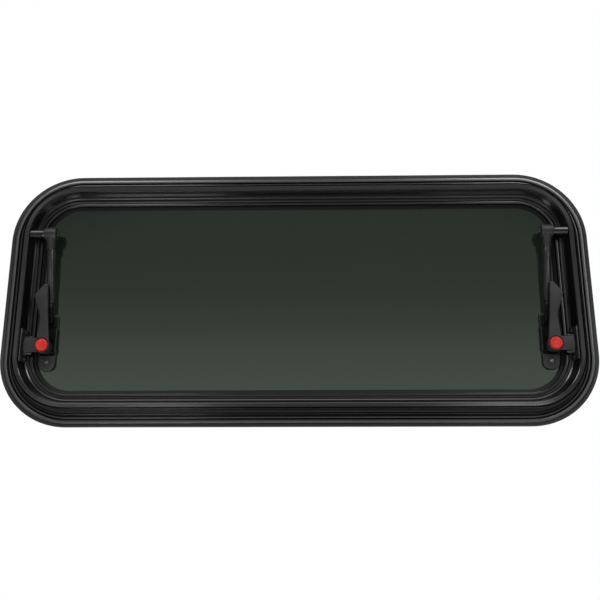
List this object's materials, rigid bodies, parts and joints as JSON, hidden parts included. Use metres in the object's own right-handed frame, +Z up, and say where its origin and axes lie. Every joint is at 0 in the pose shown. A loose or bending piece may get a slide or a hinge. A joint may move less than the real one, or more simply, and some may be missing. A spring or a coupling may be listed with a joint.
{
  "type": "motorhome window",
  "caption": "Top-hung outward-opening motorhome window in a rounded frame, seen from the room side, with tinted pane, telescopic stays and lever latches with push buttons.",
  "frame": {"origin": "on the flat seat land of the outer flange, in the middle of the bottom side", "axes": "+X to the right as seen from the room, +Y outward through the wall, +Z up; the room is toward -Y"},
  "size_m": [0.806, 0.0334, 0.358],
  "materials": {
    "black_aluminium": "satin black powder coat",
    "seal_rubber": "matt black",
    "tinted_pane": "dark green-grey tint",
    "black_plastic": "fine grained",
    "grey_plastic": "fine grained",
    "red_plastic": "moulded",
    "black_steel": "black",
    "screw_steel": "dark zinc",
    "stay_aluminium": "dark anodised"
  },
  "bodies": {
    "window": {"outer_flange": "black_aluminium", "frame_body": "black_aluminium", "sash_seal": "seal_rubber", "sash_frame": "black_aluminium", "glazing_gasket": "seal_rubber", "glass_pane": "tinted_pane", "hinge_rail": "black_aluminium", "hinge_cap_left": "black_plastic", "hinge_cap_right": "black_plastic", "keeper_left": "black_steel", "keeper_screw_upper_left": "screw_steel", "keeper_screw_lower_left": "screw_steel", "latch_base_left": "black_plastic", "base_screw_left": "screw_steel", "latch_spindle_left": "black_plastic", "stay_pin_left": "black_steel", "pin_cap_left": "screw_steel", "stay_knuckle_left": "grey_plastic", "tube_collar_left": "black_plastic", "stay_tube_left": "stay_aluminium", "stay_rod_left": "stay_aluminium", "stay_foot_left": "black_plastic", "keeper_right": "black_steel", "keeper_screw_upper_right": "screw_steel", "keeper_screw_lower_right": "screw_steel", "latch_base_right": "black_plastic", "base_screw_right": "screw_steel", "latch_spindle_right": "black_plastic", "stay_pin_right": "black_steel", "pin_cap_right": "screw_steel", "stay_knuckle_right": "grey_plastic", "tube_collar_right": "black_plastic", "stay_tube_right": "stay_aluminium", "stay_rod_right": "stay_aluminium", "stay_foot_right": "black_plastic"},
    "lever_left": {"latch_lever_left": "grey_plastic"},
    "button_left": {"latch_button_left": "red_plastic"},
    "lever_right": {"latch_lever_right": "grey_plastic"},
    "button_right": {"latch_button_right": "red_plastic"}
  },
  "joints": [
    {"name": "latch_lever_left", "type": "hinge", "parent": "window", "child": "lever_left", "pos_m": [-0.3431, -0.01, 0.0898], "axis": [0, 1, 0], "range_deg": [0, 90]},
    {"name": "latch_button_left", "type": "slide", "parent": "lever_left", "child": "button_left", "axis": [0, 1, 0], "range_m": [0, 0.002], "stiffness_N_per_m": 500},
    {"name": "latch_lever_right", "type": "hinge", "parent": "window", "child": "lever_right", "pos_m": [0.3431, -0.01, 0.0898], "axis": [0, -1, 0], "range_deg": [0, 90]},
    {"name": "latch_button_right", "type": "slide", "parent": "lever_right", "child": "button_right", "axis": [0, 1, 0], "range_m": [0, 0.002], "stiffness_N_per_m": 500}
  ]
}
